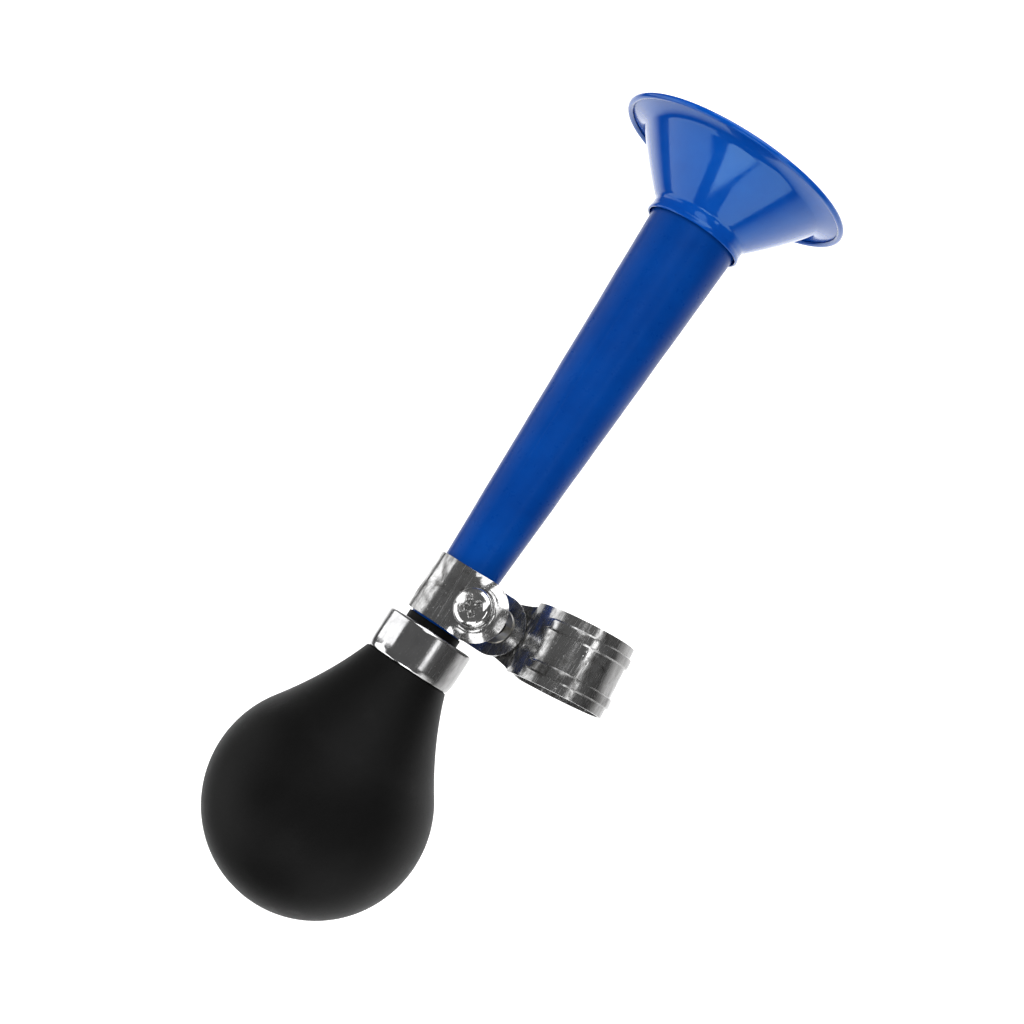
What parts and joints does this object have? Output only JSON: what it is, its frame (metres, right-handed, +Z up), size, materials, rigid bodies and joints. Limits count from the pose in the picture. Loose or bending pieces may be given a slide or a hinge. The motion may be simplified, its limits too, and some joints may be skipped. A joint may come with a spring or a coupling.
{
  "type": "bicycle bulb horn",
  "caption": "Bulb horn with a rubber squeeze bulb, a flared trumpet, a brass reed and a pivoting screw bracket that clamps round a handlebar.",
  "frame": {"origin": "centre of the handlebar band's hole, on the handlebar's axis", "axes": "+X along the horn from the bulb to the bell, +Z up along the clamp screw with its head on top, -Y from the horn to the handlebar; at rest the band is turned 7 degrees about the screw"},
  "size_m": [0.2213, 0.0778, 0.0648],
  "materials": {
    "blue_paint": "gloss enamel",
    "rubber": "matt black",
    "chrome": "bright nickel-chrome plate",
    "brass": "satin",
    "zinc": "zinc-plated steel"
  },
  "bodies": {
    "bracket": {"handlebar_band": "chrome", "serrated_seat": "chrome", "clamp_screw": "chrome", "nut_washer": "zinc", "lock_washer": "zinc", "clamp_nut": "zinc"},
    "horn": {"trumpet_tube": "blue_paint", "bell_flare": "blue_paint", "bulb_collar": "chrome", "neck_tube": "zinc", "reed_plug": "brass", "reed_shallot": "brass", "reed_clip": "brass", "horn_strap": "chrome", "tooth_washer": "zinc"},
    "bulb": {"bulb": "rubber"},
    "reed": {"reed_tongue": "brass"}
  },
  "joints": [
    {"name": "bracket_pivot", "type": "hinge", "parent": "bracket", "child": "horn", "pos_m": [-0.00252, 0.02055, 0.0118], "axis": [0, 0, 1], "range_deg": [-45, 45]},
    {"name": "bulb_squeeze", "type": "slide", "parent": "horn", "child": "bulb", "axis": [1, 0, 0], "range_m": [0, 0.012], "stiffness_N_per_m": 500, "deforming": ["bulb"]},
    {"name": "reed_flex", "type": "hinge", "parent": "horn", "child": "reed", "pos_m": [-0.01532, 0.03095, 0.01252], "axis": [0, 1, 0], "range_deg": [-1.5, 1.5], "stiffness_Nm_per_rad": 0.002}
  ]
}
